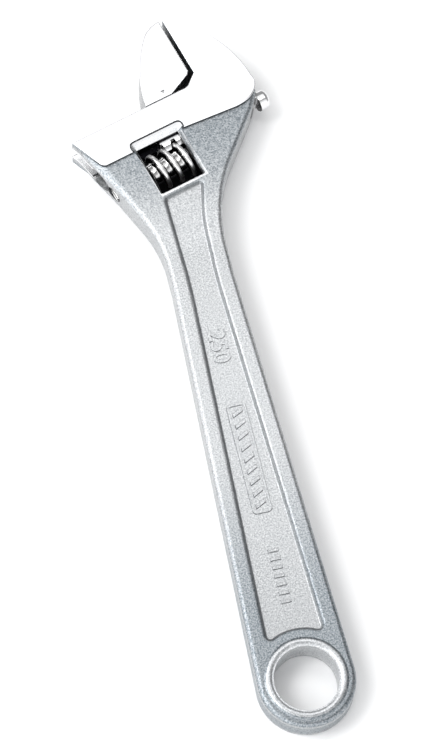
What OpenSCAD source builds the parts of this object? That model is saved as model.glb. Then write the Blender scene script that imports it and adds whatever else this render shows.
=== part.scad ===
// Adjustable wrench, 250 mm size class, with its jaw nearly closed.
// +Y runs from the hanging hole to the head, and +Z is through the thickness.
// The head's own axes are U, along the jaw slide, and V, towards the jaw tips.

/* [Handle] */
// Distance from the hanging hole to the slide surface, along the handle
hub_y = 205.7; // [170:0.1:230]
// Radius of the handle's rounded end
end_r = 15.9; // [13.5:0.1:20]
// Half the handle's width where it is narrowest
neck_half = 10.6; // [9.5:0.1:13]
// Thickness of the handle
handle_t = 11.6; // [10:0.1:13]
// Radius of the hanging hole
hole_r = 10.5; // [7:0.1:11]
// Width of the land beside the sunk panel
land_w = 5; // [3.5:0.1:6]
// Depth of the sunk panel on each face
panel_d = 2.1; // [1:0.1:3]

/* [Head] */
// Angle between the jaw slide and a square across the handle
head_angle = 15.7; // [10:0.1:22.5]
// Thickness of the polished head and jaws
head_t = 16; // [14:0.1:20]
// Thickness of the unpolished shoulder below them
shoulder_t = 13.2; // [13:0.1:14]
// Height of the jaws above the slide surface
jaw_h = 26.2; // [20:0.1:30]
// Distance of the fixed jaw's gripping face from the head's middle
face_u = 15.7; // [15:0.1:18]
// Gap between the jaws as the wrench is stored
rest_gap = 1.3; // [0.3:0.1:3]
// Radius of the fixed jaw's back
back_r = 40; // [38:0.5:42]

/* [Slide] */
// Diameter of the jaw's round rail
rail_d = 8; // [7.6:0.1:8.4]
// Distance from the slide surface down to the rail's axis
rail_drop = 13.2; // [12.8:0.1:13.6]
// Thickness of the web between the jaw and its rail
web_t = 5.3; // [4:0.1:6]
// Clearance around the rail, on the radius
rail_clear = 0.08; // [0.03:0.01:0.1]
// Clearance between flat sliding faces
flat_clear = 0.12; // [0.1:0.01:0.3]

/* [Worm] */
// Diameter of the worm over its thread
worm_d = 13.4; // [12.8:0.1:13.8]
// Distance from the rail's axis to the worm's axis
centre_dist = 6.9; // [6.8:0.1:7.4]
// Pitch of the thread and of the rack
pitch = 4.7; // [4.4:0.1:5.2]
// Depth of the thread
thread_h = 2.8; // [2.2:0.1:3]
// Length of the worm
worm_len = 15; // [12:0.1:15.2]
// Diameter of the pin that the worm turns on
pin_d = 3; // [2.6:0.1:3.2]
// Clearance between the thread and the rack
mesh_clear = 0.28; // [0.2:0.01:0.4]

/* [Hidden] */
$fn = 96;
// Below the slide surface V is negative
rail_v = -rail_drop;
worm_v = rail_v - centre_dist;
rail_r = rail_d / 2;
worm_r = worm_d / 2;
root_r = worm_r - thread_h;
// The polished plate's ends, along U
slide_left = -33;
slide_right = 10.7;
throat_v = 3.6;
flat_v = -12.6;
// The window that the worm sits in
window_u = -14.7;
window_w = worm_len + 0.6;
window_top = -11.7;
window_bottom = -30.1;
worm_u = window_u + 0.3;
// The sliding jaw, its web and its rail
jaw_u = -4.7;
jaw_foot = 10;
web_len = 13;
rail_start = -6.4;
rack_end = 31.2;
rail_end = 35.1;
stub_r = 3.3;
// One of the rack's gaps, where the thread's ridge also stands at rest
mesh_u = -2.5;
// The thread's ridge, as half widths along U
crest_half = 0.5;
base_half = 1.05;
// The rack's teeth are cut off short of the worm's root
tooth_tip_v = worm_v + root_r + mesh_clear;
tooth_root_v = worm_v + worm_r + mesh_clear;
lead_angle = atan(pitch / (2 * PI * (worm_r - thread_h / 2)));
// The pin's head fills the left wall, and its tip ends in a blind hole
pin_clear = 0.05;
head_r = 2.6;
pin_head_u = -26.8;
pin_tip_u = 6.5;
// The friction spring sits in the worm's right end, around the pin
spring_bore_r = 2.9;
spring_depth = 4.5;
wire_r = 0.35;
spring_r = 2.2;
spring_turns = 3.5;

// Points along an arc about c, from angle a0 to angle a1
function arc(c, r, a0, a1, n = 12) =
    [for (i = [0:n]) let (a = a0 + (a1 - a0) * i / n) [c[0] + r * cos(a), c[1] + r * sin(a)]];

// Points on the arc of radius r that bulges to the left of the way from p to q
function arc_between(p, q, r, n) =
    let (half = (q - p) / 2)
    let (back = sqrt(r * r / (half * half) - 1))
    let (c = p + half + back * [-half[1], half[0]])
    let (a0 = atan2(p[1] - c[1], p[0] - c[0]))
    let (a1 = atan2(q[1] - c[1], q[0] - c[0]))
    arc(c, r, a0, a1, n);

// A head point, given as U and V, in the handle's X and Y
function from_head(p) = [
    p[0] * cos(head_angle) - p[1] * sin(head_angle),
    hub_y + p[0] * sin(head_angle) + p[1] * cos(head_angle)
];

function all_from_head(points) = [for (p = points) from_head(p)];

// The fixed jaw from its back, over the tip, down its face and into the throat
back_c = [face_u + 0.3 - back_r * cos(54), jaw_h - back_r * sin(54)];
fixed_jaw = concat(
    arc(back_c, back_r, 0, 54, 14),
    [
        [face_u, jaw_h - 0.2],
        [face_u, throat_v],
        [slide_right + 1, 0.4],
        [slide_right - 0.5, 0]
    ]
);

// The whole forging, seen from above, at its middle plane
neck_y = hub_y - 58;
right_arc = arc([neck_half + 54.6, neck_y + 3], 54.6, 180, 146, 10);
left_arc = arc([-neck_half - 45.7, neck_y - 2], 45.7, 28.4, 0, 10);
forging = concat(
    arc([0, 0], end_r, 182, 358, 40),
    [[neck_half, neck_y - 8]],
    right_arc,
    all_from_head([[26, -17.6], [31.7, -11.3], [back_c[0] + back_r - 0.1, -8.6]]),
    all_from_head(fixed_jaw),
    all_from_head([[slide_left, 0], [slide_left + 1, -2]]),
    left_arc,
    [[-neck_half, neck_y - 8]]
);

// The raised, polished part of the head, in U and V
polished = concat(
    [
        [slide_left, 0],
        [slide_left + 4.7, flat_v + 1],
        [slide_left + 6, flat_v - 0.2],
        [2.9, flat_v + 0.3],
        [23.5, flat_v - 1.8],
        [28.3, flat_v - 0.9],
        [31.2, flat_v + 1.2],
        [back_c[0] + back_r - 0.1, -8.6]
    ],
    fixed_jaw
);

// The sunk panel's half width at a height y on the handle
function land_x(y) = end_r + (neck_half - end_r) * y / (neck_y - 8) - land_w;
panel_r = end_r - 0.9;
panel_corner = acos(land_x(12) / panel_r);
panel = concat(
    arc([0, 0], panel_r, 180 - panel_corner, panel_corner, 16),
    [[land_x(neck_y - 8), neck_y - 8], [land_x(neck_y - 8) + 0.5, neck_y + 14]],
    all_from_head([[0.2, window_bottom - 1.6], [window_u - 0.1, window_bottom - 1.6]]),
    [[-land_x(neck_y - 8), neck_y - 8]]
);

// The sliding jaw where it stands at rest, in U and V
jaw_face_u = face_u - rest_gap;
jaw_tip_r = 11;
jaw_tip = arc([jaw_face_u + 0.3, jaw_h - jaw_tip_r], jaw_tip_r, 92, 134, 8);
jaw_heel = [jaw_u, flat_clear];
jaw_outline = concat(
    [
        [jaw_u + jaw_foot, flat_clear],
        [jaw_face_u - 0.8, throat_v + 0.4],
        [jaw_face_u, throat_v + 1.4],
        [jaw_face_u + 0.3, jaw_h - 0.6]
    ],
    jaw_tip,
    arc_between(jaw_tip[len(jaw_tip) - 1], jaw_heel, 45, 8)
);

// Sets its children in the head's U and V axes
module in_head() {
    translate([0, hub_y, 0])
        rotate([0, 0, head_angle])
            children();
}

// A round bar along U, centred on V
module bar(u0, u1, v, r) {
    translate([u0, v, 0])
        rotate([0, 90, 0])
            cylinder(r = r, h = u1 - u0);
}

// The bevel above the window on the upper face
module window_bevel() {
    translate([window_u - 1, 0, 0])
        rotate([90, 0, 90])
            linear_extrude(window_w + 2.4)
                polygon([[window_top + 2.3, head_t / 2 + 0.1], [window_top - 0.1, 5], [window_top - 0.1, head_t / 2 + 0.1]]);
}

// The body forging with its fixed jaw
module wrench_body() {
    color("silver")
        difference() {
            union() {
                linear_extrude(handle_t, center = true)
                    polygon(forging);
                intersection() {
                    linear_extrude(shoulder_t, center = true)
                        polygon(forging);
                    translate([-60, neck_y + 14, -head_t / 2])
                        cube([120, 100, head_t]);
                }
                in_head()
                    linear_extrude(head_t, center = true)
                        polygon(polished);
            }
            hanging_hole();
            for (side = [0, 1])
                mirror([0, 0, side])
                    translate([0, 0, handle_t / 2 - panel_d])
                        linear_extrude(head_t)
                            polygon(panel);
            in_head()
                head_cuts();
        }
}

// The hole through the handle's end, with its edges broken
module hanging_hole() {
    cylinder(r = hole_r, h = head_t, center = true);
    for (side = [0, 1])
        mirror([0, 0, side])
            translate([0, 0, handle_t / 2 - 0.8])
                cylinder(r1 = hole_r, r2 = hole_r + 1.6, h = 1.6);
}

// The slot, the bores and the window, in the head's own axes
module head_cuts() {
    slot_w = web_t + 2 * flat_clear;
    translate([slide_left - 10, rail_v, -slot_w / 2])
        cube([slide_right - 1.1 - slide_left + 10, rail_drop + 1, slot_w]);
    bar(slide_left - 10, slide_right + 40, rail_v, rail_r + rail_clear);
    translate([window_u, window_bottom, -head_t])
        cube([window_w, window_top - window_bottom, 2 * head_t]);
    for (side = [0, 1])
        mirror([0, 0, side])
            window_bevel();
    bar(slide_left - 10, window_u + 1, worm_v, head_r + pin_clear);
    bar(window_u + 1, pin_tip_u + 0.5, worm_v, pin_d / 2 + pin_clear);
}

// The jaw that slides, with its web, rail and rack
module sliding_jaw() {
    color("gainsboro")
        in_head() {
            linear_extrude(head_t, center = true)
                polygon(jaw_outline);
            translate([jaw_u, rail_v, -web_t / 2])
                cube([web_len, rail_drop + 0.5, web_t]);
            difference() {
                union() {
                    bar(rail_start, rack_end, rail_v, rail_r);
                    bar(rack_end - 1, rail_end - 0.9, rail_v, stub_r);
                    translate([rail_end - 0.9, rail_v, 0])
                        rotate([0, 90, 0])
                            cylinder(r1 = stub_r, r2 = stub_r - 0.9, h = 0.9);
                }
                translate([rail_start - 1, tooth_tip_v - 10, -rail_d])
                    cube([rack_end - rail_start + 1, 10, 2 * rail_d]);
                for (k = [-1:7])
                    translate([mesh_u + k * pitch, 0, 0])
                        rack_gap();
            }
        }
}

// One gap of the rack, slanted to lie along the thread
module rack_gap() {
    crest_w = crest_half + mesh_clear;
    base_w = base_half + mesh_clear;
    rotate([0, lead_angle, 0])
        linear_extrude(3 * rail_d, center = true)
            polygon([
                [-crest_w, tooth_root_v],
                [-base_w, tooth_tip_v - 0.2],
                [base_w, tooth_tip_v - 0.2],
                [crest_w, tooth_root_v]
            ]);
}

// The thread's radius at an angle from its ridge
function thread_r(a) =
    let (off = abs(a) * pitch / 360)
    let (fall = (off - crest_half) / (base_half - crest_half))
    worm_r - thread_h * min(1, max(0, fall));

// The thumb-turned worm, a single right-handed thread
module adjusting_worm() {
    turns = worm_len / pitch;
    start = 90 - 360 * (mesh_u - worm_u) / pitch;
    section = [for (i = [0:29]) let (a = i * 12 - 180) thread_r(a) * [cos(a + start), sin(a + start)]];
    color("lightgray")
        in_head()
            translate([worm_u, worm_v, 0])
                rotate([0, 90, 0])
                    difference() {
                        linear_extrude(worm_len, twist = -360 * turns, slices = 64, $fn = 30)
                            polygon(section);
                        translate([0, 0, -1])
                            cylinder(r = pin_d / 2 + pin_clear, h = worm_len + 2);
                        translate([0, 0, worm_len - spring_depth])
                            cylinder(r = spring_bore_r, h = spring_depth + 1);
                    }
}

// The slotted pin that the worm turns on
module worm_pin() {
    color("darkgray")
        in_head()
            difference() {
                union() {
                    bar(pin_head_u, window_u - 0.3, worm_v, head_r);
                    bar(window_u - 1, pin_tip_u, worm_v, pin_d / 2);
                }
                translate([pin_head_u - 1, worm_v - 5, -0.5])
                    cube([2.2, 10, 1]);
            }
}

// A coil about U, as rings of points along a helix
module worm_spring() {
    steps = 24;
    sides = 8;
    rings = round(spring_turns * steps);
    u0 = worm_u + worm_len - spring_depth + wire_r + 0.05;
    u1 = window_u + window_w - wire_r - 0.05;
    points = [
        for (i = [0:rings], j = [0:sides - 1])
            let (a = 360 * i / steps)
            let (b = 360 * j / sides)
            let (r = spring_r + wire_r * cos(b))
            [u0 + (u1 - u0) * i / rings + wire_r * sin(b), worm_v + r * cos(a), r * sin(a)]
    ];
    walls = [
        for (i = [0:rings - 1], j = [0:sides - 1])
            let (k = (j + 1) % sides)
            [i * sides + j, (i + 1) * sides + j, (i + 1) * sides + k, i * sides + k]
    ];
    caps = [[for (j = [0:sides - 1]) j], [for (j = [0:sides - 1]) rings * sides + sides - 1 - j]];
    color("dimgray")
        in_head()
            polyhedron(points, concat(walls, caps), convexity = 6);
}

wrench_body();
sliding_jaw();
adjusting_worm();
worm_pin();
worm_spring();
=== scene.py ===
import math

import bpy
from mathutils import Matrix, Vector


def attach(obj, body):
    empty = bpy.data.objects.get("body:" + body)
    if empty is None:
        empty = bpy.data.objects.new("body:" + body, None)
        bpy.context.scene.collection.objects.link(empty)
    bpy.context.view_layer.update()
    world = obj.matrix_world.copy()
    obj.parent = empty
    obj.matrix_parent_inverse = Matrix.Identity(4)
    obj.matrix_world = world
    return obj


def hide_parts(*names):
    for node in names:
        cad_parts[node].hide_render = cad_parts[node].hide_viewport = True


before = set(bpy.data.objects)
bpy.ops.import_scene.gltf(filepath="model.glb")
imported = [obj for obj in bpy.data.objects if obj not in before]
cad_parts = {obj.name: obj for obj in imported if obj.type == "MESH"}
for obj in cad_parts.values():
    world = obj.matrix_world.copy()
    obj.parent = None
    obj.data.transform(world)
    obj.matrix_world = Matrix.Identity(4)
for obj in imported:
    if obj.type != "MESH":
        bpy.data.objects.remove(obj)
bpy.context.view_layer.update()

# Every piece is modelled in millimetres, and finish_piece() brings it to metres
MM = 0.001

# The wrench's own sizes, the same as the CAD model's
HUB_Y = 205.7
HEAD_ANGLE = math.radians(15.7)
END_R = 15.9
NECK_HALF = 10.6
NECK_Y = HUB_Y - 58
HOLE_R = 10.5
HANDLE_TOP = 5.8
SHOULDER_TOP = 6.6
HEAD_TOP = 8.0
FLOOR_Z = 3.7
# The long edges' rounding, and where the handle starts to thicken into the shoulder
EDGE_ROUND = 1.7
SHOULDER_Y = 150
SHOULDER_LEN = 24
# The panel's wall, as widths out from its floor and heights above it
WALL = [(0, 0), (0.25, 0.05), (0.45, 0.2), (0.6, 0.5), (1.0, 1.55), (1.15, 1.82), (1.4, 1.99),
        (1.75, 2.07), (2.4, 2.18)]
# The head's own sizes, in U along the slide and V across it
RAIL_V = -13.2
RAIL_R = 4.0
RAIL_CLEAR = 0.08
RAIL_START = -6.4
RAIL_END = 31.2
STUB_R = 3.4
STUB_END = 35.1
# The gap cut under the rail's right end: from, to and up to
END_GAP = (26.4, 31.0, -13.5)
WEB = (-4.7, 8.3)
WEB_HALF = 2.65
SLOT_HALF = 2.77
WORM_V = -20.1
WORM_R = 6.7
WORM_START = -14.4
WORM_LEN = 15.0
ROOT_R = 3.9
PITCH = 4.7
# Where a ridge of the worm meets a gap of the rack, and how far apart they stay
MESH_U = -2.5
MESH_CLEAR = 0.28
PIN_R = 1.5
PIN_HEAD_R = 2.6
PIN_HEAD_U = -27.8
PIN_SLOT_U = -26.6
PIN_TIP_U = 6.5
PIN_CLEAR = 0.05
WINDOW = (-14.7, 0.9, -30.1, -11.7)
FACE_U = 15.7
JAW_H = 26.2
# How far open the jaws are
OPENING = 1.3
# The eased upper edges, as inward widths and heights that add up to EASE_H
EASE_H = 0.5
PLATE_EASE = [(0.08, 0.25), (0.09, 0.13), (0.19, 0.12)]
JAW_EASE = [(0.1, 0.25), (0.15, 0.15), (0.25, 0.1)]
# Polished chrome
POLISH = (0.93, 0.93, 0.94)
BACK_R = 40.0
BACK_TURN = 54
BACK_C = (FACE_U + 0.3 - BACK_R * math.cos(math.radians(BACK_TURN)),
          JAW_H - BACK_R * math.sin(math.radians(BACK_TURN)))


# Outlines

def arc(c, r, a0, a1, n):
    """Points along an arc about c, from angle a0 to angle a1 in degrees."""
    angles = [math.radians(a0 + (a1 - a0) * i / n) for i in range(n + 1)]
    return [(c[0] + r * math.cos(a), c[1] + r * math.sin(a)) for a in angles]


def arc_between(p, q, r, n):
    """Points on the arc of radius r that bulges to the left of the way from p to q."""
    half = (Vector(q) - Vector(p)) / 2
    back = math.sqrt(r * r / half.length_squared - 1)
    c = Vector(p) + half + back * Vector((-half.y, half.x))
    a0 = math.degrees(math.atan2(p[1] - c.y, p[0] - c.x))
    a1 = math.degrees(math.atan2(q[1] - c.y, q[0] - c.x))
    return arc(c, r, a0, a1, n)


def flowing(points, n):
    """A smooth curve through the points, with n steps between each pair."""
    ends = [points[0]] + list(points) + [points[-1]]
    out = []
    for k in range(len(points) - 1):
        p0, p1, p2, p3 = (Vector(p) for p in ends[k:k + 4])
        for i in range(n):
            t = i / n
            out.append(tuple(0.5 * (2 * p1 + (p2 - p0) * t + (2 * p0 - 5 * p1 + 4 * p2 - p3) * t * t
                                    + (3 * p1 - p0 - 3 * p2 + p3) * t * t * t)))
    out.append(tuple(points[-1]))
    return out


def rounded(points, radii, n=4):
    """An outline with each of its corners rounded by its own radius."""
    out = []
    count = len(points)
    for k in range(count):
        here, r = Vector(points[k]), radii[k]
        if r <= 0:
            out.append(tuple(here))
            continue
        to_last = (Vector(points[k - 1]) - here).normalized()
        to_next = (Vector(points[(k + 1) % count]) - here).normalized()
        a, b = here + to_last * r, here + to_next * r
        for i in range(n + 1):
            t = i / n
            out.append(tuple((1 - t) ** 2 * a + 2 * t * (1 - t) * here + t * t * b))
    return out


def head_point(p):
    """A head point, given as U and V, in the handle's X and Y."""
    c, s = math.cos(HEAD_ANGLE), math.sin(HEAD_ANGLE)
    return (p[0] * c - p[1] * s, HUB_Y + p[0] * s + p[1] * c)


def head_points(points):
    return [head_point(p) for p in points]


# Modelling by hand

def deselect():
    """Leave edit mode, with nothing selected."""
    if bpy.context.object and bpy.context.object.mode != 'OBJECT':
        bpy.ops.object.mode_set(mode='OBJECT')
    bpy.ops.object.select_all(action='DESELECT')


def pick(piece):
    """Make one piece the selected and active one."""
    deselect()
    piece.select_set(True)
    bpy.context.view_layer.objects.active = piece


def edit(piece, what='FACE'):
    """Go into edit mode with nothing selected."""
    pick(piece)
    bpy.ops.object.mode_set(mode='EDIT')
    bpy.ops.mesh.select_mode(type=what)
    bpy.ops.mesh.select_all(action='DESELECT')


def leave():
    bpy.ops.object.mode_set(mode='OBJECT')


def choose(piece, test):
    """Select the faces that pass a test on their middle and normal."""
    edit(piece)
    bpy.ops.object.mode_set(mode='OBJECT')
    for f in piece.data.polygons:
        f.select = test(f.center, f.normal)
    bpy.ops.object.mode_set(mode='EDIT')


def top_face(piece):
    """Select the one highest face."""
    top = max(f.center.z for f in piece.data.polygons)
    choose(piece, lambda c, n: c.z > top - 1e-4 and n.z > 0.9)


def outline(name, points, z=0.0):
    """Extrude a vertex round an outline and fill it with one face that looks up."""
    deselect()
    bpy.ops.mesh.primitive_plane_add(size=0.1, location=(points[0][0], points[0][1], z))
    piece = bpy.context.object
    piece.name = piece.data.name = name
    edit(piece, 'VERT')
    bpy.ops.mesh.select_all(action='SELECT')
    bpy.ops.mesh.merge(type='CENTER')
    for p, q in zip(points, points[1:]):
        bpy.ops.mesh.extrude_vertices_move(TRANSFORM_OT_translate={"value": (q[0] - p[0], q[1] - p[1], 0)})
    last = len(points) - 1
    bpy.ops.object.mode_set(mode='OBJECT')
    for i, v in enumerate(piece.data.vertices):
        v.select = i in (0, last)
    bpy.ops.object.mode_set(mode='EDIT')
    bpy.ops.mesh.edge_face_add()
    bpy.ops.mesh.select_all(action='SELECT')
    bpy.ops.mesh.edge_face_add()
    bpy.ops.object.mode_set(mode='OBJECT')
    if piece.data.polygons[0].normal.z < 0:
        bpy.ops.object.mode_set(mode='EDIT')
        bpy.ops.mesh.select_all(action='SELECT')
        bpy.ops.mesh.flip_normals()
    settle(piece)
    return piece


def settle(piece):
    """Bake a working piece's place into its mesh."""
    pick(piece)
    bpy.ops.object.transform_apply(location=True, rotation=True, scale=True)


def rise(piece, height):
    """Extrude the highest face straight up."""
    top_face(piece)
    bpy.ops.mesh.extrude_region_move(TRANSFORM_OT_translate={"value": (0, 0, height)})
    leave()


def step_in(piece, steps):
    """Inset the highest face in steps, each an inward width and a height."""
    top_face(piece)
    for width, height in steps:
        bpy.ops.mesh.inset(thickness=width, depth=height, use_boundary=True, use_even_offset=True)
    leave()


def spread(points, widths):
    """An anticlockwise outline moved outwards by one width, or by a width for each point."""
    out = []
    for i, p in enumerate(points):
        a, b, c = Vector(points[i - 1]), Vector(p), Vector(points[(i + 1) % len(points)])
        before, after = (b - a).normalized(), (c - b).normalized()
        n = Vector((before.y + after.y, -before.x - after.x))
        width = widths[i] if isinstance(widths, list) else widths
        out.append(tuple(b + n * width / max(0.6, 1 + before.dot(after))))
    return out


def loft(name, loops):
    """A solid through rising outlines with the same number of points."""
    line, z = loops[0]
    piece = outline(name, line, z)
    for target, height in loops[1:]:
        rise(piece, height - z)
        for v in piece.data.vertices:
            if v.co.z > height - 1e-3:
                near = min(range(len(line)), key=lambda i: (Vector(line[i]) - v.co.xy).length_squared)
                v.co.x, v.co.y = target[near]
        line, z = target, height
    outward(piece)
    return piece


def outward(piece):
    """Turn every face outwards."""
    edit(piece)
    bpy.ops.mesh.select_all(action='SELECT')
    bpy.ops.mesh.remove_doubles(threshold=1e-4)
    bpy.ops.mesh.normals_make_consistent(inside=False)
    leave()


def block(name, points, z0, z1):
    """A straight-sided solid on an outline."""
    piece = outline(name, points, z0)
    rise(piece, z1 - z0)
    outward(piece)
    return piece


def to_head(piece):
    """Turn a piece modelled in U and V into the head's place."""
    pick(piece)
    piece.matrix_world = Matrix.Translation((0, HUB_Y, 0)) @ Matrix.Rotation(HEAD_ANGLE, 4, 'Z')
    settle(piece)
    return piece


def bar(name, u0, u1, v, r, sides=64):
    """A round bar along U, centred on V."""
    deselect()
    bpy.ops.mesh.primitive_cylinder_add(
        vertices=sides, radius=r, depth=u1 - u0, location=((u0 + u1) / 2, v, 0),
        rotation=(0, math.pi / 2, 0))
    piece = bpy.context.object
    piece.name = piece.data.name = name
    settle(piece)
    return piece


def round_ends(piece, test, width, segments):
    """Bevel the rims of the faces that pass a test."""
    choose(piece, test)
    bpy.ops.mesh.bevel(offset=width, segments=segments, affect='EDGES')
    leave()


def combine(piece, other, how='DIFFERENCE'):
    """Cut with, join to or keep what is shared with a second piece, which is used up."""
    pick(piece)
    bpy.ops.object.modifier_add(type='BOOLEAN')
    mod = piece.modifiers[-1]
    mod.object = other
    mod.operation = how
    mod.solver = 'EXACT'
    bpy.ops.object.modifier_apply(modifier=mod.name)
    pick(other)
    bpy.ops.object.delete()
    pick(piece)
    return piece


def mirror_down(piece):
    """Copy the upper half of a piece to below Z = 0 and close the seam."""
    choose(piece, lambda c, n: abs(c.z) < 1e-3 and abs(n.z) > 0.99)
    bpy.ops.mesh.delete(type='FACE')
    leave()
    pick(piece)
    bpy.ops.object.modifier_add(type='MIRROR')
    mod = piece.modifiers[-1]
    mod.use_axis = (False, False, True)
    mod.use_clip = True
    mod.merge_threshold = 0.002
    bpy.ops.object.modifier_apply(modifier=mod.name)
    outward(piece)


def bisect_at(piece, co, no):
    """Cut an edge line right through a piece."""
    edit(piece)
    bpy.ops.mesh.select_all(action='SELECT')
    bpy.ops.mesh.bisect(plane_co=co, plane_no=no, use_fill=False, threshold=1e-4)
    leave()


def smooth(piece, angle=28):
    """Shade by angle, with the large faces leading the small ones."""
    pick(piece)
    bpy.ops.object.shade_smooth_by_angle(angle=math.radians(angle))
    bpy.ops.object.modifier_add(type='WEIGHTED_NORMAL')
    mod = piece.modifiers[-1]
    mod.keep_sharp = True
    mod.weight = 60
    bpy.ops.object.modifier_apply(modifier=mod.name)


def finish_piece(piece, material, body, slot, *nodes):
    """Bring a piece to metres, with its place in its mesh, and hand it to the frame."""
    pick(piece)
    piece.scale = (MM, MM, MM)
    bpy.ops.object.transform_apply(location=True, rotation=True, scale=True)
    piece.data.materials.clear()
    piece.data.materials.append(material)
    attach(piece, body)
    if nodes:
        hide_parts(*nodes)
    return piece


# Materials

def put_node(tree, kind, output, settings, sockets):
    """Add a node with its settings and its sockets' values or wires, and give one output."""
    node = tree.nodes.new(kind)
    for key, value in settings.items():
        setattr(node, key, value)
    for key, value in sockets.items():
        if isinstance(value, Wire):
            tree.links.new(value.socket, node.inputs[key])
        else:
            node.inputs[key].default_value = value
    return Wire(tree, node.outputs[output])


class Wire:
    """A node's output, with arithmetic that adds Math nodes."""

    def __init__(self, tree, socket):
        self.tree = tree
        self.socket = socket

    def maths(self, operation, *others):
        sockets = dict(enumerate((self,) + others))
        return put_node(self.tree, 'ShaderNodeMath', 0, {'operation': operation}, sockets)

    def __add__(self, other):
        return self.maths('ADD', other)

    __radd__ = __add__

    def __mul__(self, other):
        return self.maths('MULTIPLY', other)

    __rmul__ = __mul__

    def __sub__(self, other):
        return self.maths('SUBTRACT', other)

    def __rsub__(self, other):
        return (self * -1) + other

    def __abs__(self):
        return self.maths('ABSOLUTE')

    def limited(self):
        """The same, but no more than 1."""
        return self.maths('MINIMUM', 1.0)

    def ramp(self, low, high):
        """0 below low, 1 above high, and smooth between them."""
        return put_node(self.tree, 'ShaderNodeMapRange', 'Result', {'interpolation_type': 'SMOOTHSTEP'},
                        {'Value': self, 'From Min': low, 'From Max': high})

    def fall(self, low, high):
        """1 below low, 0 above high, and smooth between them."""
        return 1.0 - self.ramp(low, high)


def rgba(colour):
    return colour if isinstance(colour, Wire) else (*colour, 1.0)


def xyz(tree, vector):
    """A vector's three numbers."""
    return [put_node(tree, 'ShaderNodeSeparateXYZ', key, {}, {'Vector': vector}) for key in 'XYZ']


class Finish:
    """A material's node tree, from its Object coordinates to its shader."""

    def __init__(self, name, metallic=1.0):
        self.material = bpy.data.materials.new(name)
        self.material.use_nodes = True
        self.tree = self.material.node_tree
        self.shader = self.tree.nodes['Principled BSDF']
        self.shader.inputs['Metallic'].default_value = metallic
        self.place = put_node(self.tree, 'ShaderNodeTexCoord', 'Object', {}, {})

    def axes(self):
        return xyz(self.tree, self.place)

    def head_axes(self, x, y):
        """The head's U and V, in metres, from X and Y."""
        c, s = math.cos(HEAD_ANGLE), math.sin(HEAD_ANGLE)
        over = y - HUB_Y * MM
        return x * c + over * s, over * c - x * s

    def noise(self, scale, detail=2.0, roughness=0.5):
        return put_node(self.tree, 'ShaderNodeTexNoise', 'Fac', {}, {
            'Vector': self.place, 'Scale': scale, 'Detail': detail, 'Roughness': roughness})

    def mix(self, fac, low, high):
        """A colour between two colours."""
        return put_node(self.tree, 'ShaderNodeMix', 2, {'data_type': 'RGBA'},
                        {0: fac, 6: rgba(low), 7: rgba(high)})

    def bump(self, height, strength, distance):
        return put_node(self.tree, 'ShaderNodeBump', 'Normal', {}, {
            'Height': height, 'Strength': strength, 'Distance': distance})

    def feed(self, key, value):
        """Give one of the shader's sockets a number, a colour or a wire."""
        socket = self.shader.inputs[key]
        if isinstance(value, Wire):
            self.tree.links.new(value.socket, socket)
        else:
            socket.default_value = rgba(value) if isinstance(value, tuple) else value


def inside(wire, low, high):
    """1 where a place in metres is between two sizes in millimetres, or just on them."""
    low, high = low * MM, high * MM
    return wire.ramp(low - 3e-4, low - 2e-4) * wire.fall(high + 2e-4, high + 3e-4)


def apart(a, b):
    """How far a place is from an axis, from its two distances across that axis."""
    return (a * a + b * b).maths('SQRT')


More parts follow.
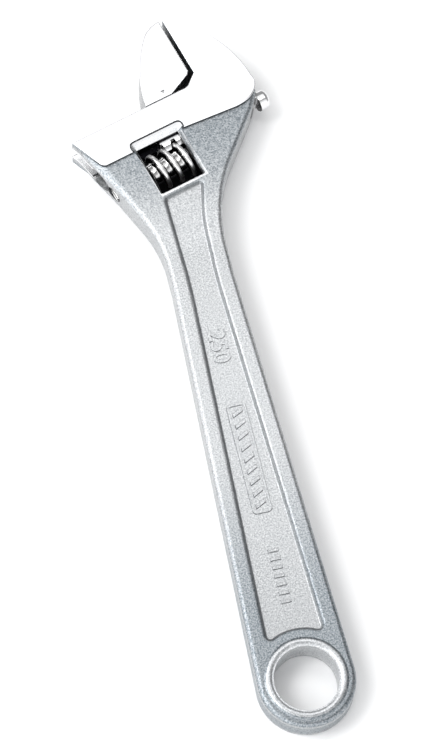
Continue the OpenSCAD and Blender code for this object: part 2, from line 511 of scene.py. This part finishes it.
def body_chrome():
    """Blasted satin chrome, polished bright on the head's two faces."""
    f = Finish("body_chrome")
    x, y, z = f.axes()
    u, v = f.head_axes(x, y)
    high = abs(z)
    polished = high.ramp(0.0076, 0.0078)
    grain = f.noise(1900, 3.0, 0.65)
    pits = f.noise(1100)
    cloud = f.noise(60)
    speck = grain.ramp(0.32, 0.68)
    tone = f.mix(speck, (0.27, 0.28, 0.29), (0.60, 0.61, 0.615))
    tone = f.mix(cloud.ramp(0.35, 0.65) * 0.25, tone, (0.42, 0.43, 0.44))
    # Painted shade: the satin is painted darker, and bluer, at the two ends than along the middle
    off_floor = high.ramp(0.0042, 0.0050) + high.fall(0.0028, 0.0034)
    ends = y.ramp(0.155, 0.192) * high.ramp(0.0050, 0.0061) + y.fall(0.02, 0.085) * off_floor * 1.12
    tone = f.mix((ends * 0.85).limited(), tone, f.mix(speck, (0.12, 0.145, 0.165), (0.42, 0.445, 0.465)))
    # Painted highlight: the hanging hole's raised ring is painted bright
    ring = inside(apart(x, y), 9.0, 12.6)
    tone = f.mix(ring * 0.65, tone, f.mix(speck, (0.55, 0.56, 0.57), (0.86, 0.865, 0.87)))
    # Painted shade: dark under the polished plate's edge, and near black deep inside the window, the slot
    # and the bores
    plate_edge_shade = inside(high, 6.98, 7.4) * v.fall(-0.0095, -0.0085)
    tone = f.mix(plate_edge_shade, tone, (0.06, 0.065, 0.07))
    inner = inside(u, -24, 9.5) * inside(v, WINDOW[2], -0.6) * high.fall(0.0046, 0.0049)
    tone = f.mix(inner, tone, (0.012, 0.012, 0.015))
    # Painted highlight: the window's flare and its lower lip, and the slot's mouth, are painted bright, and
    # also given a smoother, less bumpy cut finish
    flare = inside(u, -17.0, 3.6) * inside(v, WINDOW[3] + 0.2, -8.6) * inside(high, 5.2, 7.4)
    lip = inside(u, WINDOW[0] - 0.8, WINDOW[1] + 0.9) * inside(v, WINDOW[2] - 0.7, -12.8)
    lip = lip * inside(high, 6.35, 6.5)
    mouth = u.fall(-0.0245, -0.0235) * inside(v, RAIL_V + 0.5, -0.5) * high.fall(0.0034, 0.0036)
    cut_finish_and_highlight = (flare * 0.7 + lip * 0.5 + mouth).limited()
    tone = f.mix(cut_finish_and_highlight, tone, f.mix(speck, (0.80, 0.805, 0.81), (0.92, 0.92, 0.925)))
    # Painted shade rings the two bores in the left flank, and a painted dark reflection lines the flare's
    # upper edge, where the polish is left off
    pin_reach = apart(v - WORM_V * MM, z)
    rail_reach = apart(v - RAIL_V * MM, z)
    pin_ring = pin_reach.ramp(0.00262, 0.00264) * pin_reach.fall(0.0031, 0.0033)
    rail_ring = rail_reach.ramp(0.00411, 0.00415) * rail_reach.fall(0.0045, 0.0047)
    bore_rim_shade = (pin_ring + rail_ring) * u.fall(-0.0205, -0.0200)
    flare_edge_dark_reflection = high.ramp(0.00738, 0.00742) * high.fall(0.00790, 0.00794)
    flare_edge_dark_reflection = flare_edge_dark_reflection * inside(u, -17.2, 3.7) * inside(v, -12.1, -8.8)
    tone = f.mix((bore_rim_shade + flare_edge_dark_reflection).limited(), tone, (0.05, 0.052, 0.055))
    polished = polished * (1.0 - flare_edge_dark_reflection)
    f.feed('Base Color', f.mix(polished, tone, POLISH))
    rough = 0.4 + 0.12 * (grain - 0.5) - 0.18 * cut_finish_and_highlight
    f.feed('Roughness', rough - (rough - 0.06) * polished)
    height = (grain + pits * 0.6) * (1.0 - polished) * (1.0 - cut_finish_and_highlight * 0.7)
    f.feed('Normal', f.bump(height, 0.8, 0.0001))
    return f.material


def jaw_chrome():
    """Polished chrome with a fine lapped grain on its sides."""
    f = Finish("jaw_chrome")
    x, y, z = f.axes()
    polished = abs(z).ramp(0.0074, 0.0077)
    u, v = f.head_axes(x, y)
    below = v.fall(-0.0006, 0.0)
    grain = f.noise(2200, 3.0, 0.6)
    side = f.mix(grain.ramp(0.3, 0.7), (0.26, 0.265, 0.27), (0.36, 0.365, 0.37))
    bright = f.mix(grain.ramp(0.3, 0.7), (0.72, 0.725, 0.73), (0.84, 0.84, 0.845))
    # Painted shade: the gap under the rail's right end is painted near black inside
    hollow = inside(u, 24.0, 31.05) * v.fall(-0.0138, -0.0132)
    bright = f.mix(hollow, bright, (0.02, 0.02, 0.02))
    f.feed('Base Color', f.mix(polished, f.mix(below, side, bright), POLISH))
    f.feed('Roughness', 0.26 + 0.1 * (grain - 0.5) - 0.1 * below - 0.2 * polished * (1.0 - below))
    f.feed('Normal', f.bump(grain * (1.0 - polished), 0.2, 0.00004))
    return f.material


def worm_chrome():
    """Bright plating over turned threads."""
    f = Finish("worm_chrome")
    x, y, z = f.axes()
    u, v = f.head_axes(x, y)
    fine = f.noise(1800)
    reach = apart(v - WORM_V * MM, z)
    ridge = reach.ramp(0.0054, 0.0061)
    # Painted shade: the thread's flanks near the root are painted near black, and the root darker than the
    # crest
    flank_shade = inside(reach, 4.45, 5.5)
    root = f.mix(fine.ramp(0.35, 0.65), (0.55, 0.545, 0.54), (0.70, 0.695, 0.69))
    crest = f.mix(fine.ramp(0.35, 0.65), (0.86, 0.855, 0.845), (0.96, 0.955, 0.95))
    f.feed('Base Color', f.mix(flank_shade, f.mix(ridge, root, crest), (0.05, 0.05, 0.05)))
    f.feed('Roughness', 0.08 + 0.22 * ridge + 0.08 * fine)
    f.feed('Normal', f.bump(fine, 0.12, 0.00004))
    return f.material


def turned_steel(name, low, high, rough, slotted=False):
    """Turned steel with fine dark flecks, and for the pin painted shade: a near black slot across its head.
    """
    f = Finish(name)
    fine = f.noise(2400, 3.0, 0.6)
    tone = f.mix(fine.ramp(0.35, 0.65), low, high)
    if slotted:
        # Painted shade: the slot across the pin's head is painted near black
        x, y, z = f.axes()
        u, v = f.head_axes(x, y)
        slot = abs(z).fall(0.00048, 0.00056) * u.fall(-0.0262, -0.0258)
        tone = f.mix(slot, tone, (0.04, 0.04, 0.04))
    f.feed('Base Color', tone)
    f.feed('Roughness', rough + 0.15 * (fine - 0.5))
    f.feed('Normal', f.bump(fine, 0.15, 0.00004))
    return f.material


# The body

def fixed_jaw_line():
    """The fixed jaw from its back, over the tip, down its face and into the throat."""
    return arc(BACK_C, BACK_R, 0, BACK_TURN, 40) + [
        (FACE_U, JAW_H - 0.45), (FACE_U, 3.6), (11.7, 0.4), (10.2, 0)]


def forging_line():
    """The blasted forging, which ends a little inside the polished plate."""
    right = arc((NECK_HALF + 54.6, NECK_Y + 3), 54.6, 180, 147, 26)
    left = arc((-NECK_HALF - 45.7, NECK_Y - 2), 45.7, 27, 0, 24)
    right_head = head_points([(26.0, -17.6), (29.6, -13.9), (31.6, -11.0)])
    left_head = head_points([(-32.3, -0.9), (-29.8, -12.6), (-27.6, -22.0)])
    return (
        arc((0, 0), END_R, 182, 358, 60)
        + [(NECK_HALF, NECK_Y - 8)]
        + right[:-1]
        + flowing([right[-1]] + right_head, 5)
        + head_points([(32.1, -8.0), (30.5, -3.0), (28.0, -0.9)])
        + flowing(left_head + [left[0]], 5)
        + left[1:]
        + [(-NECK_HALF, NECK_Y - 8)]
    )


def plate_line():
    """The raised polished face, in U and V."""
    lower = rounded(
        [(-33.0, 0.0), (-28.3, -11.6), (-27.0, -12.6), (-16.0, -12.6), (2.9, -12.6), (23.5, -14.3),
         (28.0, -13.6), (31.2, -11.4), (32.8, -8.6), (BACK_C[0] + BACK_R, BACK_C[1] - 0.1)],
        [0, 0.8, 0.5, 0, 0, 2.0, 1.6, 1.4, 0.8, 0], 4)
    return lower + fixed_jaw_line()


def land_x(y):
    """The sunk panel's half width at a height on the handle."""
    return END_R + (NECK_HALF - END_R) * y / (NECK_Y - 8) - 5.0


def panel_floor():
    """The sunk panel's floor, which curves round the hanging hole at its low end."""
    r = END_R + 1.5
    half = [land_x(y) - WALL[-2][0] for y in (14, NECK_Y - 8)]
    corner = math.degrees(math.acos(half[0] / r))
    low = arc((0, 0), r, 180 - corner - 9, corner + 9, 24)
    low_left, low_right = arc((0, 0), r, 180 - corner, corner, 1)
    top = WINDOW[2] - 0.8 - WALL[-2][0]
    corners = [
        (low_right, 1.6), ((half[1], NECK_Y - 8), 6.0), ((half[1] + 0.5, NECK_Y + 14), 5.0),
        (head_point((-2.0, top)), 0.6), (head_point((WINDOW[0] + 0.4, top)), 0.6),
        ((-half[1], NECK_Y - 8), 8.0), (low_left, 1.6)]
    return rounded([c[0] for c in corners] + low, [c[1] for c in corners] + [0] * len(low), 5)


def edge_width(p):
    """How broad the edge's rounding is, which grows where the left flank meets the head."""
    if p[0] > 0 or p[1] < SHOULDER_Y:
        return EDGE_ROUND
    t = min(1, (p[1] - SHOULDER_Y) / 36)
    return EDGE_ROUND + 1.9 * t * t


def ease_shoulder(piece):
    """Thicken the forging from the handle to the shoulder."""
    for k in range(9):
        bisect_at(piece, (0, SHOULDER_Y + SHOULDER_LEN * k / 8, 0), (0, 1, 0))
    for v in piece.data.vertices:
        t = min(1, max(0, (v.co.y - SHOULDER_Y) / SHOULDER_LEN))
        t = t * t * (3 - 2 * t)
        v.co.z += (SHOULDER_TOP - HANDLE_TOP) * t * min(1, v.co.z / 3.5)


def cut_sunk_panel(body):
    """Cut the sunk panel, with a filleted floor, a sloping wall and a rounded rim."""
    floor = panel_floor()
    combine(body, loft("panel_cut", [(spread(floor, width), FLOOR_Z + z) for width, z in WALL]))


def cut_hanging_hole(body):
    """Lay a raised round ring on the end, then cut the hole through it."""
    middle, thick, z = HOLE_R + 1.75, 1.85, 4.45
    deselect()
    bpy.ops.mesh.primitive_torus_add(
        location=(0, 0, z), major_radius=middle, minor_radius=thick, major_segments=96, minor_segments=24)
    ring = bpy.context.object
    ring.name = "hole_ring"
    settle(ring)
    combine(body, ring, 'UNION')
    combine(body, block("hole_cut", arc((0, 0), HOLE_R, 0, 360 * 95 / 96, 95), -1, 8))


def add_polished_plate(body):
    """Join the raised plate with the fixed jaw."""
    plate = outline("polished_plate", plate_line())
    rise(plate, HEAD_TOP - EASE_H)
    step_in(plate, PLATE_EASE)
    outward(plate)
    to_head(plate)
    combine(body, plate, 'UNION')


def cut_window(body):
    """Cut the worm's window, its flared top and sides, and a narrow lip all round."""
    u0, u1, v0, v1 = WINDOW
    corners = [(u0, v0), (u1, v0), (u1, v1), (u0, v1)]
    combine(body, to_head(block("window_cut", corners, -1, 5)))
    shifts = [(-1.5, -0.1), (1.0, -0.1), (2.6, 2.6), (-2.3, 2.6)]
    upper = [(c[0] + s[0], c[1] + s[1]) for c, s in zip(corners, shifts)]
    low = rounded(corners, [0.01] * 4, 6)
    high = rounded(upper, [0.4, 0.4, 2.4, 2.4], 6)
    flare_z, lip_z = (4.98, 8.05), (6.3, 6.8)
    combine(body, to_head(loft("window_flare", [(low, flare_z[0]), (high, flare_z[1])])))
    combine(body, to_head(loft("window_lip", [(low, lip_z[0]), (spread(low, 0.5), lip_z[1])])))


def cut_slide(body):
    """Cut the web's slot, the rail's bore and the pin's bore."""
    slot = block("slot_cut", [(-45, RAIL_V), (9.6, RAIL_V), (9.6, 2), (-45, 2)], -1, SLOT_HALF)
    combine(body, to_head(slot))
    combine(body, to_head(bar("rail_bore", -45, 45, RAIL_V, RAIL_R + RAIL_CLEAR, 96)))
    combine(body, to_head(bar("pin_bore", -45, WINDOW[0] + 1, WORM_V, PIN_HEAD_R + PIN_CLEAR, 64)))
    combine(body, to_head(bar("pin_hole", WINDOW[0] - 1, PIN_TIP_U + 0.5, WORM_V, PIN_R + PIN_CLEAR, 48)))


def build_body():
    line = forging_line()
    widths = [edge_width(p) for p in line]
    rounds = [math.radians(15 * k) for k in range(7)]
    loops = [(line, 0)] + [
        (spread(line, [-w * (1 - math.cos(a)) for w in widths]), HANDLE_TOP - EDGE_ROUND * (1 - math.sin(a)))
        for a in rounds]
    body = loft("wrench_forging", loops)
    cut_sunk_panel(body)
    cut_hanging_hole(body)
    ease_shoulder(body)
    add_polished_plate(body)
    cut_window(body)
    cut_slide(body)
    mirror_down(body)
    smooth(body)
    chrome = body_chrome()
    build_marks(chrome)
    return finish_piece(body, chrome, "frame", "body_chrome", "wrench_body")


# The raised marks on the panel: a size in millimetres and plain patterns

def raised(name, points):
    """A low block on the panel's floor, with its upper edge eased."""
    top = FLOOR_Z + 0.5
    foot, crown = spread(points, 0.1), spread(points, -0.12)
    return loft(name, [(foot, FLOOR_Z - 0.3), (points, top - 0.15), (crown, top)])


def size_mark():
    """The size, read from the head to the hole."""
    deselect()
    bpy.ops.object.text_add(location=(-3.0, 122.3, FLOOR_Z))
    mark = bpy.context.object
    mark.name = "panel_marks"
    mark.data.body = "250"
    mark.data.size = 8.0
    mark.data.extrude = 0.34
    mark.data.offset = 0.06
    mark.data.bevel_depth = 0.14
    mark.data.bevel_resolution = 2
    mark.rotation_euler = (0, 0, -math.pi / 2)
    bpy.ops.object.convert(target='MESH')
    settle(mark)
    outward(mark)
    return mark


def pattern_marks():
    """A long frame with slanted bars in it, and a short row of upright bars."""
    half, y0, y1 = 3.3, 57.0, 95.5
    outer = [(-half, y0), (half, y0), (half, y1), (-half, y1)]
    inner = [(x * 0.76, y + (0.8 if y == y0 else -0.8)) for x, y in outer]
    hollow = block("mark_hollow", rounded(inner, [1.0] * 4, 5), FLOOR_Z - 1, FLOOR_Z + 1)
    pieces = [combine(raised("mark_frame", rounded(outer, [1.6] * 4, 5)), hollow)]
    for k in range(9):
        y = y0 + 3.3 + 4.0 * k
        pieces.append(raised("mark_bar", [(-1.8, y - 1.6), (1.8, y + 0.2), (1.8, y + 1.6), (-1.8, y - 0.2)]))
    for k in range(7):
        y = 26.0 + 2.9 * k
        pieces.append(raised("mark_dash", [(-1.7, y), (1.7, y), (1.7, y + 1.1), (-1.7, y + 1.1)]))
    return pieces


def build_marks(material):
    mark = size_mark()
    pieces = pattern_marks()
    pick(mark)
    for piece in pieces:
        piece.select_set(True)
    bpy.ops.object.join()
    smooth(mark, 30)
    return finish_piece(mark, material, "frame", "body_chrome")


# The sliding jaw

def jaw_line():
    """The jaw's face, tip, back and heel, in U and V."""
    face = FACE_U - OPENING
    tip_r = 11
    tip = arc((face + 0.2, JAW_H - tip_r), tip_r, 92, 134, 12)
    back = arc_between(tip[-1], (WEB[0], 0.12), 45, 24)
    return [(5.3, 0.12), (face - 0.8, 4.0), (face, 5.0), (face + 0.2, JAW_H - 0.6)] + tip + back[1:]


def rack_gap(u):
    """A slanted block that cuts one gap between the rack's teeth."""
    lead = math.atan(PITCH / (2 * math.pi * (WORM_R - 1.4)))
    root, tip = WORM_V + WORM_R + MESH_CLEAR, WORM_V + ROOT_R + MESH_CLEAR
    line = rounded([(-1.33, tip - 1), (1.33, tip - 1), (1.33, tip), (0.8, root), (-0.8, root), (-1.33, tip)],
                   [0, 0, 0, 0.35, 0.35, 0], 3)
    gap = block("rack_gap", line, -12, 12)
    gap.rotation_euler = (0, lead, 0)
    gap.location = (u, 0, 0)
    settle(gap)
    return gap


def build_rail():
    """The round rail with its rack, the gap under its right end and its stub."""
    rail = bar("rail", RAIL_START, RAIL_END, RAIL_V, RAIL_R, 96)
    round_ends(rail, lambda c, n: abs(n.x) > 0.9, 0.3, 2)
    flat = WORM_V + ROOT_R + MESH_CLEAR
    combine(rail, block("rail_flat", [(-8, -30), (33, -30), (33, flat), (-8, flat)], -9, 9))
    for k in range(-1, 8):
        combine(rail, rack_gap(MESH_U + k * PITCH))
    u0, u1, v1 = END_GAP
    combine(rail, block("rail_end_gap", [(u0, -20), (u1, -20), (u1, v1), (u0, v1)], -9, 9))
    stub = bar("rail_stub", u1, STUB_END, RAIL_V, STUB_R, 64)
    round_ends(stub, lambda c, n: n.x > 0.9, 1.6, 7)
    return combine(rail, stub, 'UNION')


def build_jaw():
    jaw = outline("sliding_jaw_piece", jaw_line())
    rise(jaw, HEAD_TOP - EASE_H)
    step_in(jaw, JAW_EASE)
    outward(jaw)
    mirror_down(jaw)
    u0, u1 = WEB
    web = block("web", [(u0, RAIL_V), (u1, RAIL_V), (u1, 0.5), (u0, 0.5)], -WEB_HALF, WEB_HALF)
    combine(jaw, web, 'UNION')
    combine(jaw, build_rail(), 'UNION')
    # A small pointer cut in the upper face, against the head's slide
    combine(jaw, block("pointer", [(2.2, 2.7), (3.0, 1.3), (3.8, 2.7)], HEAD_TOP - 0.5, HEAD_TOP + 1))
    to_head(jaw)
    outward(jaw)
    smooth(jaw, 30)
    return finish_piece(jaw, jaw_chrome(), "jaw", "jaw_chrome", "sliding_jaw")


# The worm, its pin and its spring

def thread_profile():
    """A round-topped ridge and a smooth root, over one pitch, as places along U and radii."""
    half = [(0, WORM_R), (0.35, 6.64), (0.6, 6.44), (0.76, 6.1), (0.88, 5.5), (1.0, 4.8), (1.12, 4.4),
            (1.35, 4.08), (1.7, 3.93), (2.0, ROOT_R), (PITCH / 2, ROOT_R)]
    half = flowing(half, 2)
    return [(-u, r) for u, r in reversed(half)] + half[1:]


def build_worm():
    start, end = WORM_START, WORM_START + WORM_LEN
    turns, turns_back = 7, 5
    profile = thread_profile()
    deselect()
    bpy.ops.mesh.primitive_plane_add(size=0.1, location=(profile[0][0], profile[0][1], 0))
    worm = bpy.context.object
    worm.name = worm.data.name = "worm_thread"
    edit(worm, 'VERT')
    bpy.ops.mesh.select_all(action='SELECT')
    bpy.ops.mesh.merge(type='CENTER')
    for p, q in zip(profile, profile[1:]):
        bpy.ops.mesh.extrude_vertices_move(TRANSFORM_OT_translate={"value": (q[0] - p[0], q[1] - p[1], 0)})
    leave()
    settle(worm)
    bpy.ops.object.modifier_add(type='SCREW')
    mod = worm.modifiers[-1]
    mod.axis = 'X'
    mod.steps = mod.render_steps = 64
    mod.iterations = turns
    mod.screw_offset = PITCH
    mod.use_merge_vertices = False
    bpy.ops.object.modifier_apply(modifier=mod.name)
    # One ridge lies in the rack's gap, with turns to spare past both ends
    worm.location = (MESH_U - turns_back * PITCH, WORM_V, 0)
    settle(worm)
    outward(worm)
    for u, side in ((start, -1), (end, 1)):
        edit(worm)
        bpy.ops.mesh.select_all(action='SELECT')
        bpy.ops.mesh.bisect(plane_co=(u, 0, 0), plane_no=(side, 0, 0), use_fill=True, clear_outer=True)
        leave()
    outward(worm)
    combine(worm, bar("worm_bore", start - 1, end + 1, WORM_V, PIN_R + PIN_CLEAR, 48))
    combine(worm, bar("spring_well", end - 4.5, end + 1, WORM_V, 2.9, 48))
    to_head(worm)
    smooth(worm, 40)
    return finish_piece(worm, worm_chrome(), "worm", "worm_chrome", "adjusting_worm")


def build_pin():
    pin = bar("pin_head", PIN_HEAD_U, -15.0, WORM_V, PIN_HEAD_R, 64)
    round_ends(pin, lambda c, n: n.x < -0.9, 0.35, 3)
    shank = bar("pin_shank", -15.6, PIN_TIP_U, WORM_V, PIN_R, 48)
    round_ends(shank, lambda c, n: n.x > 0.9, 0.3, 2)
    combine(pin, shank, 'UNION')
    v0, v1 = WORM_V - 5, WORM_V + 5
    combine(pin, block("slot", [(-29, v0), (PIN_SLOT_U, v0), (PIN_SLOT_U, v1), (-29, v1)], -0.5, 0.5))
    to_head(pin)
    outward(pin)
    smooth(pin)
    steel = turned_steel("pin_steel", (0.78, 0.78, 0.77), (0.93, 0.93, 0.92), 0.42, slotted=True)
    return finish_piece(pin, steel, "frame", "pin_steel", "worm_pin")


def build_spring():
    """A wire ring's section, screwed along the pin."""
    deselect()
    bpy.ops.mesh.primitive_circle_add(vertices=12, radius=0.35, location=(-3.5, 2.2, 0))
    spring = bpy.context.object
    spring.name = spring.data.name = "friction_spring"
    settle(spring)
    bpy.ops.object.modifier_add(type='SCREW')
    mod = spring.modifiers[-1]
    mod.axis = 'X'
    mod.angle = 7 * math.pi
    mod.screw_offset = 4.0
    mod.steps = mod.render_steps = 112
    bpy.ops.object.modifier_apply(modifier=mod.name)
    edit(spring)
    bpy.ops.mesh.select_all(action='SELECT')
    bpy.ops.mesh.fill_holes(sides=0)
    leave()
    spring.location = (0, WORM_V, 0)
    settle(spring)
    outward(spring)
    to_head(spring)
    smooth(spring, 50)
    steel = turned_steel("spring_steel", (0.16, 0.16, 0.17), (0.34, 0.34, 0.36), 0.3)
    return finish_piece(spring, steel, "frame", "spring_steel", "worm_spring")


# The stage

def build_stage():
    """A pale floor that the wrench lies on, by its head and its handle's end."""
    reach, under_window = 201, 0.1837
    tilt = math.atan2(HEAD_TOP - HANDLE_TOP, reach)
    deselect()
    bpy.ops.mesh.primitive_plane_add(size=6, location=(0, 0, 0))
    floor = bpy.context.object
    floor.name = "floor"
    edit(floor)
    bpy.ops.mesh.select_all(action='SELECT')
    bpy.ops.mesh.subdivide(number_cuts=4)
    leave()
    floor.rotation_euler = (-tilt, 0, 0)
    floor.location = (0, 0.186, -(HEAD_TOP + 0.03) * MM)
    bpy.ops.object.transform_apply(location=True, rotation=True, scale=True)
    # Painted shadow: the floor is painted dark straight under the worm's window, and pale all round it
    f = Finish("floor_with_window_shadow", metallic=0.0)
    x, y, z = f.axes()
    near = apart(x, y - under_window).fall(0.012, 0.015)
    f.feed('Base Color', f.mix(near, (0.97, 0.97, 0.97), (0.05, 0.05, 0.055)))
    f.feed('Roughness', 0.9)
    f.feed('Specular IOR Level', 0.1)
    floor.data.materials.append(f.material)


def softbox(name, where, aim, size, power):
    """A broad white light that looks at a point."""
    deselect()
    bpy.ops.object.light_add(type='AREA', location=where)
    lamp = bpy.context.object
    lamp.name = name
    lamp.data.shape = 'RECTANGLE'
    lamp.data.size, lamp.data.size_y = size
    lamp.data.energy = power
    lamp.rotation_euler = (Vector(aim) - Vector(where)).to_track_quat('-Z', 'Y').to_euler()


def build_lights():
    """A white sky with three brighter parts, one softbox overhead and a soft sun from the left."""
    world = bpy.data.worlds.new("studio")
    bpy.context.scene.world = world
    world.use_nodes = True
    tree = world.node_tree
    x, y, z = xyz(tree, put_node(tree, 'ShaderNodeTexCoord', 'Generated', {}, {}))
    # The bright ceiling patch that the polished faces show, then the front and left walls
    patch = (x * 0.114 + y * 0.417 + z * 0.902).ramp(0.95, 0.985) * 0.85
    front = (y * -1).ramp(0.2, 0.9) * 1.3
    left = (x * -1).ramp(0.25, 0.9) * 2.0
    strength = patch + front + left + 0.37
    sky = tree.nodes['Background']
    tree.links.new(strength.socket, sky.inputs['Strength'])
    sky.inputs['Color'].default_value = (0.985, 0.99, 1, 1)
    softbox("overhead", where=(0.05, 0.25, 0.45), aim=(0, 0.12, 0), size=(0.4, 0.12), power=0.5)
    deselect()
    high_left = Vector((-0.5, 0.15, 0.85))
    bpy.ops.object.light_add(type='SUN', location=high_left)
    sun = bpy.context.object
    sun.name = "left_key"
    sun.data.energy = 1.0
    sun.data.angle = math.radians(24)
    sun.rotation_euler = (-high_left).to_track_quat('-Z', 'Y').to_euler()
    bpy.context.scene.view_settings.view_transform = 'Standard'
    bpy.context.scene.view_settings.look = 'None'


def build_camera():
    """A long lens, nearly overhead, turned so that the handle leans."""
    tilt, pan, roll = (math.radians(a) for a in (20.88, -18.94, 5.71))
    back = Vector((math.sin(tilt) * math.sin(pan), -math.sin(tilt) * math.cos(pan), math.cos(tilt)))
    up0 = Vector((-math.sin(pan) * math.cos(tilt), math.cos(pan) * math.cos(tilt), math.sin(tilt)))
    right0 = up0.cross(back)
    right = right0 * math.cos(roll) + up0 * math.sin(roll)
    up = up0 * math.cos(roll) - right0 * math.sin(roll)
    aim, distance = Vector((-0.00124, 0.10939, 0)), 1.0542
    turn = Matrix((right, up, back)).transposed()
    deselect()
    bpy.ops.object.camera_add(location=aim + back * distance, rotation=turn.to_euler())
    camera = bpy.context.object
    camera.data.sensor_fit = 'VERTICAL'
    camera.data.sensor_height = 24
    camera.data.lens = 103.78
    camera.data.clip_start = 0.05
    bpy.context.scene.camera = camera


build_camera()
build_stage()
build_lights()
deselect()
build_body()
build_jaw()
build_worm()
build_pin()
build_spring()
